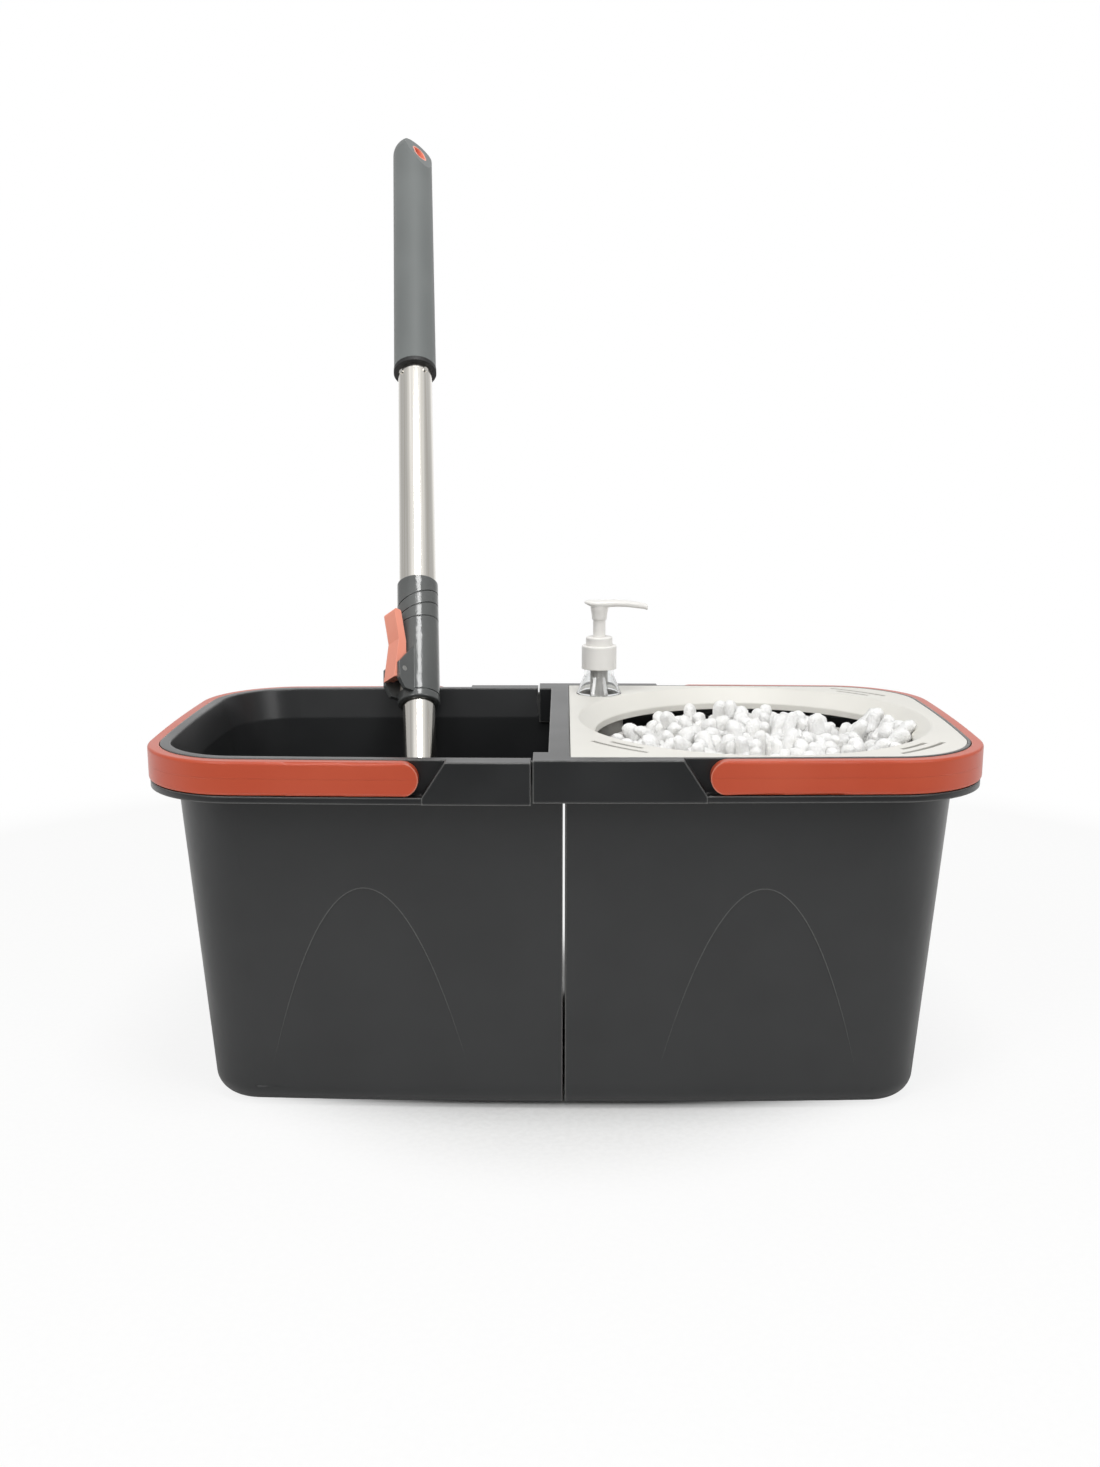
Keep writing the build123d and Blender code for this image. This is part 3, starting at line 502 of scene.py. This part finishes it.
print("made:", tray_plastic.name, basket_plastic.name, pump_plastic.name, acetal.name)

# %% [markdown]
# ## Dark plastics of the stick
#
# The grip has a soft-touch rubber skin, matt with a very fine tooth. The collar under it is a
# harder, glossy grey whose surface shrank a little unevenly in the mould, so its highlights
# wander. The plug at the foot and the ring under the grip are black.

# %% Dark plastics
TOOTH_MM = 0.7
TOOTH_DEPTH_MM = 0.05
SHRINK_MM = 9.0
SHRINK_DEPTH_MM = 0.8
grip_rubber, *_ = moulded_plastic(
    "soft_touch_grey_rubber", "#666A69", "#6D7170", 0.55, 0.66,
    grain=TOOTH_MM, depth=TOOTH_DEPTH_MM, IOR=1.5, Sheen_Weight=0.15,
)
paint(grip_rubber, "grip")
black_rubber, *_ = moulded_plastic(
    "moulded_black_rubber", "#141414", "#1B1B1B", 0.45, 0.6, IOR=1.52
)
paint(black_rubber, "grip_end_ring", "neck_gasket")
foot_plastic, *_ = moulded_plastic(
    "moulded_dark_grey_nylon", "#3A3B3C", "#424344", 0.35, 0.48, IOR=1.53
)
paint(foot_plastic, "foot_ferrule", "head_fork", "head_plug", "mop_disc")

collar_plastic, tree, shader, skin = moulded_plastic(
    "glossy_grey_abs", "#575959", "#5F6160", 0.12, 0.2, IOR=1.54
)
coords = add(tree, "ShaderNodeTexCoord").outputs["Object"]
shrink = add(tree, "ShaderNodeTexNoise", None, {
    "Vector": coords,
    "Scale": 1 / (SHRINK_MM * MM),
    "Detail": 2.0,
})
wander = add(tree, "ShaderNodeBump", None, {
    "Strength": 0.5,
    "Distance": SHRINK_DEPTH_MM * MM,
    "Height": shrink.outputs["Fac"],
    "Normal": skin.outputs["Normal"],
})
tree.links.new(wander.outputs["Normal"], shader.inputs["Normal"])
paint(collar_plastic, "lock_collar")
print("made:", grip_rubber.name, black_rubber.name, foot_plastic.name, collar_plastic.name)

# %% [markdown]
# ## Stainless steel and plated steel
#
# The stick's tubes are drawn stainless steel, polished along their length. Polishing leaves
# very fine lines along the tube, so the roughness pattern is stretched along the stick's
# axis. Small pins, springs and the twisted rod are plated steel, a little duller.

# %% Metals
STICK_AXIS = Vector((-0.056693, 0.614671, 0.786743))
POLISH_LINE_MM = (1.2, 160.0)


def drawn_metal(name, dark, light, rough_low, rough_high):
    material, tree, shader = new_material(name, Metallic=1.0)
    coords = add(tree, "ShaderNodeTexCoord").outputs["Object"]
    turn = STICK_AXIS.rotation_difference(Vector((0, 0, 1))).to_euler()
    upright = add(tree, "ShaderNodeMapping", None, {"Vector": coords, "Rotation": turn})
    across, along = (1 / (size * MM) for size in POLISH_LINE_MM)
    squeezed = add(tree, "ShaderNodeMapping", None, {
        "Vector": upright.outputs["Vector"],
        "Scale": (across, across, along),
    })
    lines = add(tree, "ShaderNodeTexNoise", None, {
        "Vector": squeezed.outputs["Vector"],
        "Scale": 1.0,
    })
    sheen = spread(tree, lines.outputs["Fac"], dark, light)
    tree.links.new(sheen, shader.inputs["Base Color"])
    gloss = add(tree, "ShaderNodeMapRange", None, {
        "Value": lines.outputs["Fac"],
        "To Min": rough_low,
        "To Max": rough_high,
    })
    tree.links.new(gloss.outputs["Result"], shader.inputs["Roughness"])
    return material


stainless = drawn_metal("polished_stainless_steel", "#E2DED6", "#EFECE6", 0.1, 0.18)
paint(stainless, "upper_tube", "lower_tube", "snap_button_left", "snap_button_right")
plated = drawn_metal("zinc_plated_steel", "#A9A9A6", "#BDBDBA", 0.285, 0.38)
paint(
    plated, "pivot_pin", "fork_pin", "fork_clip", "twist_rod", "pump_spring", "inlet_ball",
    "lever_pin",
)
turned_brass = drawn_metal("turned_brass", "#B99A5A", "#C8AA6A", 0.285, 0.36)
paint(turned_brass, "drive_nut")
print("made:", stainless.name, plated.name, turned_brass.name)

# %% [markdown]
# ## Clear bottle
#
# The soap bottle is blown from clear PET, thin walled and smooth, with faint ripples from the
# blowing. The solid has a real wall, so light bends twice on its way through, as in the real
# bottle.

# %% Clear PET
RIPPLE_MM = 14.0
RIPPLE_DEPTH_MM = 0.4
clear_pet, tree, shader = new_material(
    "blown_clear_pet", IOR=1.57, Transmission_Weight=1.0, Roughness=0.04,
    Base_Color=linear("#FBFCFC"),
)
coords = add(tree, "ShaderNodeTexCoord").outputs["Object"]
ripple = add(tree, "ShaderNodeTexNoise", None, {
    "Vector": coords,
    "Scale": 1 / (RIPPLE_MM * MM),
    "Detail": 1.0,
})
skin = add(tree, "ShaderNodeBump", None, {
    "Strength": 0.3,
    "Distance": RIPPLE_DEPTH_MM * MM,
    "Height": ripple.outputs["Fac"],
})
tree.links.new(skin.outputs["Normal"], shader.inputs["Normal"])
paint(clear_pet, "soap_bottle")
print("made:", clear_pet.name)

# %% [markdown]
# ## Pump head
#
# The press-down head of the soap pump is one moulding: a thin saddle for the palm, a spout
# that droops at its tip and a neck that runs down to the stem. A solid of straight extrusions
# can't blend these, so rings of points are lofted along the spout, a neck is turned about the
# stem, and a voxel remesh melts the two into one skin.

# %% Pump head rings
stem_low, stem_high = (Vector(corner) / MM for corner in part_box("pump_stem"))
head_low, head_high = (Vector(corner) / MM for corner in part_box("pump_head"))
stem_middle = (stem_low + stem_high) / 2
STEM_AXIS_MM = Vector((stem_middle.x, stem_middle.y, head_high.z))
SPOUT_RINGS = (
    (head_low.x - STEM_AXIS_MM.x, 2.4, -2.4, -1.6),
    (head_low.x - STEM_AXIS_MM.x + 1.6, 4.6, -3.4, -0.9),
    (-7.0, 6.3, -4.6, -0.4),
    (-2.0, 6.9, -5.4, -0.3),
    (4.0, 6.8, -5.6, -0.2),
    (11.0, 6.0, -5.2, 0.0),
    (19.0, 5.0, -5.3, -0.5),
    (27.0, 4.2, -6.2, -1.6),
    (32.0, 3.7, -6.8, -2.5),
    (head_high.x - STEM_AXIS_MM.x, 3.2, -7.6, -3.3),
)
NECK_RINGS = ((6.6, -3.0), (6.4, -7.0), (5.7, -10.6), (5.3, -14.6), (4.7, -14.6))
RING_SIDES = 24
MELT_MM = 0.4
MELT_ROUNDS = 6
SADDLE_SQUARENESS = (0.7, 0.8)


def ring_faces(rings, sides):
    """Quads that join rings of points in a row, with the two end rings closed."""
    faces = []
    for ring in range(rings - 1):
        for step in range(sides):
            a = ring * sides + step
            b = ring * sides + (step + 1) % sides
            faces.append((a, b, b + sides, a + sides))
    last = (rings - 1) * sides
    return [tuple(reversed(range(sides)))] + faces + [tuple(range(last, last + sides))]


def mesh_piece(name, points, faces, material):
    mesh = bpy.data.meshes.new(name)
    mesh.from_pydata([Vector(p) * MM for p in points], [], faces)
    mesh.shade_smooth()
    mesh.materials.append(material)
    piece = bpy.data.objects.new(name, mesh)
    bpy.context.scene.collection.objects.link(piece)
    return piece


def squared(value, power):
    """Swells a sine or cosine, so that an oval turns a little square."""
    return math.copysign(abs(value) ** power, value)


turns = [2 * math.pi * step / RING_SIDES for step in range(RING_SIDES)]
head_points = []
for reach, half_width, low, high in SPOUT_RINGS:
    for turn in turns:
        across = squared(math.cos(turn), SADDLE_SQUARENESS[0]) * half_width
        up = squared(math.sin(turn), SADDLE_SQUARENESS[1]) * (high - low) / 2
        head_points.append(STEM_AXIS_MM + Vector((reach, across, (low + high) / 2 + up)))
head_faces = ring_faces(len(SPOUT_RINGS), RING_SIDES)
neck_start = len(head_points)
for radius, height in NECK_RINGS:
    for turn in turns:
        spoke = Vector((radius * math.cos(turn), radius * math.sin(turn), height))
        head_points.append(STEM_AXIS_MM + spoke)
for face in ring_faces(len(NECK_RINGS), RING_SIDES):
    head_faces.append(tuple(index + neck_start for index in face))
print("pump head rings:", len(SPOUT_RINGS) + len(NECK_RINGS))

# %% Pump head skin
def melted(piece, voxel, rounds):
    """Joins overlapping closed forms into one smooth skin, and keeps the result as plain mesh."""
    remesh = piece.modifiers.new("melt", "REMESH")
    remesh.mode = "VOXEL"
    remesh.voxel_size = voxel * MM
    remesh.use_smooth_shade = True
    relax = piece.modifiers.new("relax", "SMOOTH")
    relax.factor = 0.5
    relax.iterations = rounds
    bpy.context.view_layer.update()
    ready = piece.evaluated_get(bpy.context.evaluated_depsgraph_get())
    skin = bpy.data.meshes.new_from_object(ready)
    piece.modifiers.clear()
    piece.data = skin


pump_top = mesh_piece("pump_head_moulding", head_points, head_faces, pump_plastic)
melted(pump_top, MELT_MM, MELT_ROUNDS)
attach(pump_top, "pump_top")
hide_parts("pump_head")
print("pump head faces:", len(pump_top.data.polygons))

# %% [markdown]
# ## Pump spring
#
# Inside the housing a coil spring lifts the piston. It shortens when the head is pressed,
# which a rigid solid can't do. The coil is drawn again as a tube along a helix.

# %% Pump spring
SPRING_WIRE_MM = 0.45
SPRING_PITCH_MM = 3.2
WIRE_SIDES = 8
STEPS_PER_TURN = 24
spring_low, spring_high = (Vector(corner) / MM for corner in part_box("pump_spring"))
spring_axis = Vector((STEM_AXIS_MM.x, STEM_AXIS_MM.y, spring_low.z))
spring_height = spring_high.z - spring_low.z
coil_radius = (spring_high.x - spring_low.x) / 2 - SPRING_WIRE_MM
coil_rise = spring_height - 2 * SPRING_WIRE_MM
coil_turns = math.floor(coil_rise / SPRING_PITCH_MM)
coil_steps = coil_turns * STEPS_PER_TURN
coil_points = []
for step in range(coil_steps + 1):
    turn = 2 * math.pi * step / STEPS_PER_TURN
    outward = Vector((math.cos(turn), math.sin(turn), 0.0))
    middle = spring_axis + outward * coil_radius
    middle += Vector((0, 0, SPRING_WIRE_MM + coil_rise * step / coil_steps))
    for side in range(WIRE_SIDES):
        angle = 2 * math.pi * side / WIRE_SIDES
        spoke = outward * math.cos(angle) + Vector((0, 0, 1)) * math.sin(angle)
        coil_points.append(middle + spoke * SPRING_WIRE_MM)
coil = mesh_piece("pump_coil", coil_points, ring_faces(coil_steps + 1, WIRE_SIDES), plated)
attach(coil, "bottle")
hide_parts("pump_spring")
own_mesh(coil)
print("spring turns:", coil_turns, "height, mm:", round(spring_height, 1))

# %% [markdown]
# ## Mop strands
#
# The mop head is a pad of white microfibre chenille: hundreds of soft fingers, each about as
# thick as a pencil, sewn to a round backing. Hair particles would be far too fine for them,
# so each finger is a small tapered tube with a round tip, bent at random and roughened by
# noise. They stand on a mound that fills the space of the CAD pad. Fingers on top point up
# and lean outwards. Fingers on the flank lie along the cone of the pad, clear of the basket.

# %% Strand shapes
random.seed(7)
pad_low, pad_high = (Vector(corner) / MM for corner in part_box("mop_pad"))
PAD_CENTRE_MM = ((pad_low.x + pad_high.x) / 2, (pad_low.y + pad_high.y) / 2)
PAD_RADIUS_MM = (pad_high.x - pad_low.x) / 2
PAD_FOOT_RADIUS_MM = 77.0
PAD_WAIST_MM = 213.5
FINGER_RADIUS_MM = 4.7
FINGER_LENGTH_MM = 30.0
FINGER_SAG = 0.2
FINGER_FOOT_GIRTH = 0.86
FLUFF_COARSE = (0.26, 4.5)
FLUFF_FINE = (0.2, 1.9)
SHAFT_RINGS = 7
TIP_RINGS = 5
FINGER_SIDES = 14
TOP_FINGERS = 300
GOLDEN_ANGLE = math.pi * (3 - math.sqrt(5))
CROWN_DROP_MM = 20.0
CROWN_FALL_MM = 15.0


def finger(base, lean, length, radius):
    """Points and faces of one bent chenille finger with a round tip, in millimetres."""
    lean = lean.normalized()
    sag = Vector((random.uniform(-1, 1), random.uniform(-1, 1), random.uniform(-0.6, 0.3)))
    sag *= length * FINGER_SAG
    side = lean.orthogonal().normalized()
    across = lean.cross(side)
    rings = []
    for i in range(SHAFT_RINGS):
        share = i / SHAFT_RINGS
        girth = FINGER_FOOT_GIRTH + (1 - FINGER_FOOT_GIRTH) * share
        rings.append(((length - radius) * share, girth))
    for i in range(TIP_RINGS):
        bend = math.pi / 2 * i / (TIP_RINGS - 0.6)
        rings.append((length - radius + radius * math.sin(bend), math.cos(bend)))
    points = []
    for along, girth in rings:
        share = along / length
        middle = base + lean * along + sag * share * share
        for step in range(FINGER_SIDES):
            angle = 2 * math.pi * step / FINGER_SIDES
            spoke = side * math.cos(angle) + across * math.sin(angle)
            spot = middle + spoke * radius * girth
            fluff = 1.0
            for much, size in (FLUFF_COARSE, FLUFF_FINE):
                fluff += much * noise.noise(spot / size)
            points.append(middle + spoke * radius * girth * fluff)
    return points, ring_faces(len(rings), FINGER_SIDES)


def crown_height(reach):
    """Height of the pad's mound at a distance from its axis."""
    share = min(1.0, reach / PAD_RADIUS_MM)
    return pad_high.z - CROWN_DROP_MM - CROWN_FALL_MM * share**4


print("pad radius, mm:", round(PAD_RADIUS_MM, 1))


# %% Strand material
LOOP_MM = 1.3
LOOP_DEPTH_MM = 0.6
FUZZ_MM = 6.0
GLOW_DEPTH_MM = 3.0
chenille, tree, shader = new_material(
    "white_microfibre_chenille", Roughness=0.92, Specular_IOR_Level=0.15,
    Sheen_Weight=0.5, Sheen_Roughness=0.5,
    Subsurface_Weight=0.6, Subsurface_Scale=GLOW_DEPTH_MM * MM, Subsurface_Radius=(1.0, 1.0, 1.0),
)
coords = add(tree, "ShaderNodeTexCoord").outputs["Object"]
loops = add(tree, "ShaderNodeTexVoronoi", None, {"Vector": coords, "Scale": 1 / (LOOP_MM * MM)})
fuzz = add(tree, "ShaderNodeTexNoise", None, {
    "Vector": coords,
    "Scale": 1 / (FUZZ_MM * MM),
    "Detail": 4.0,
})
fibre_white = spread(tree, fuzz.outputs["Fac"], "#F6F5F2", "#FDFDFB")
tree.links.new(fibre_white, shader.inputs["Base Color"])
pile = add(tree, "ShaderNodeBump", {"invert": True}, {
    "Strength": 0.7,
    "Distance": LOOP_DEPTH_MM * MM,
    "Height": loops.outputs["Distance"],
})
tree.links.new(pile.outputs["Normal"], shader.inputs["Normal"])
print("made:", chenille.name)

# %% Strands and their mound
RIM_GAP_MM = 3.0
FOOT_PULL_MM = 9.0
FOOT_DEPTH_MM = 22.0
TOP_LEAN = 0.35
TOP_STRAY = 0.5
CLUMP_MM = 28.0
CLUMP_GROWTH = 0.3
all_points, all_faces = [], []


def plant(base, lean, length, radius):
    points, faces = finger(base, lean, length, radius)
    start = len(all_points)
    all_points.extend(points)
    all_faces.extend(tuple(index + start for index in face) for face in faces)


centre = Vector((*PAD_CENTRE_MM, 0.0))
for i in range(TOP_FINGERS):
    reach = (PAD_RADIUS_MM - FINGER_RADIUS_MM - RIM_GAP_MM) * math.sqrt((i + 0.5) / TOP_FINGERS)
    out_share = reach / PAD_RADIUS_MM
    angle = i * GOLDEN_ANGLE
    outward = Vector((math.cos(angle), math.sin(angle), 0.0))
    length = FINGER_LENGTH_MM * random.uniform(0.75, 1.25)
    clump = noise.noise(outward * reach / CLUMP_MM)
    foot = centre + outward * (reach - FOOT_PULL_MM * out_share)
    foot.z = crown_height(reach) - FOOT_DEPTH_MM
    stray = [random.uniform(-TOP_STRAY, TOP_STRAY) for _ in range(2)]
    lean = outward * TOP_LEAN * out_share + Vector((*stray, 1.0))
    radius = FINGER_RADIUS_MM * random.uniform(0.85, 1.15)
    plant(foot, lean, length * (1 + CLUMP_GROWTH * clump), radius)
print("fingers' points:", len(all_points))

FLANK_ROWS = 3
FLANK_FINGERS = 46
FLANK_INSET_MM = 6.0
FLANK_LIFT_MM = 1.0
FLANK_LENGTH_MM = 34.0
FLANK_RADIUS_MM = 4.4
flank_widening = PAD_RADIUS_MM - PAD_FOOT_RADIUS_MM
flank_height = PAD_WAIST_MM - pad_low.z
for row in range(FLANK_ROWS):
    for i in range(FLANK_FINGERS):
        angle = 2 * math.pi * (i + row / FLANK_ROWS) / FLANK_FINGERS
        outward = Vector((math.cos(angle), math.sin(angle), 0.0))
        share = row / FLANK_ROWS
        low_radius = PAD_FOOT_RADIUS_MM + flank_widening * share - FLANK_INSET_MM
        foot = centre + outward * low_radius
        foot.z = pad_low.z + FLANK_LIFT_MM + flank_height * share
        lean = outward * flank_widening / flank_height + Vector((0, 0, 1))
        plant(foot, lean, FLANK_LENGTH_MM, FLANK_RADIUS_MM)

RIGHT_FINGERS = 18
RIGHT_ARC_DEG = (-36.0, 28.0)
RIGHT_REACH_MM = (84.0, 93.0)
RIGHT_LIFT_MM = (1.0, 5.0)
RIGHT_LENGTH_MM = (16.0, 22.0)
RIGHT_LEAN = 0.8
for i in range(RIGHT_FINGERS):
    arc = RIGHT_ARC_DEG[1] - RIGHT_ARC_DEG[0]
    turn = RIGHT_ARC_DEG[0] + arc * (i + random.uniform(0.1, 0.9)) / RIGHT_FINGERS
    angle = math.radians(turn)
    outward = Vector((math.cos(angle), math.sin(angle), 0.0))
    foot = centre + outward * random.uniform(*RIGHT_REACH_MM)
    foot.z = PAD_WAIST_MM + random.uniform(*RIGHT_LIFT_MM)
    stray = (random.uniform(-0.4, 0.4), random.uniform(-0.4, 0.4), random.uniform(0.9, 1.4))
    lean = outward * RIGHT_LEAN + Vector(stray)
    length = random.uniform(*RIGHT_LENGTH_MM)
    plant(foot, lean, length, FINGER_RADIUS_MM * random.uniform(0.9, 1.15))

strands = mesh_piece("mop_strands", all_points, all_faces, chenille)
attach(strands, "mop_head")

CORE_SIDES = 64
CORE_FOOT_INSET_MM = 8.0
CORE_WAIST_INSET_MM = 9.0
CORE_WAIST_DROP_MM = 6.0
CORE_DEPTH_MM = 10.0
CORE_SHARES = (0.86, 0.7, 0.5, 0.3, 0.1)
core_profile = [
    (PAD_FOOT_RADIUS_MM - CORE_FOOT_INSET_MM, pad_low.z),
    (PAD_RADIUS_MM - CORE_WAIST_INSET_MM, PAD_WAIST_MM - CORE_WAIST_DROP_MM),
]
for share in CORE_SHARES:
    reach = PAD_RADIUS_MM * share
    core_profile.append((reach, crown_height(reach) - CORE_DEPTH_MM))
core_points = []
for reach, height in core_profile:
    for step in range(CORE_SIDES):
        angle = 2 * math.pi * step / CORE_SIDES
        spoke = Vector((reach * math.cos(angle), reach * math.sin(angle), height))
        core_points.append(centre + spoke)
core_faces = ring_faces(len(core_profile), CORE_SIDES)
core = mesh_piece("mop_backing", core_points, core_faces, chenille)
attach(core, "mop_head")
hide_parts("mop_pad")
print("strands:", TOP_FINGERS + FLANK_ROWS * FLANK_FINGERS + RIGHT_FINGERS)
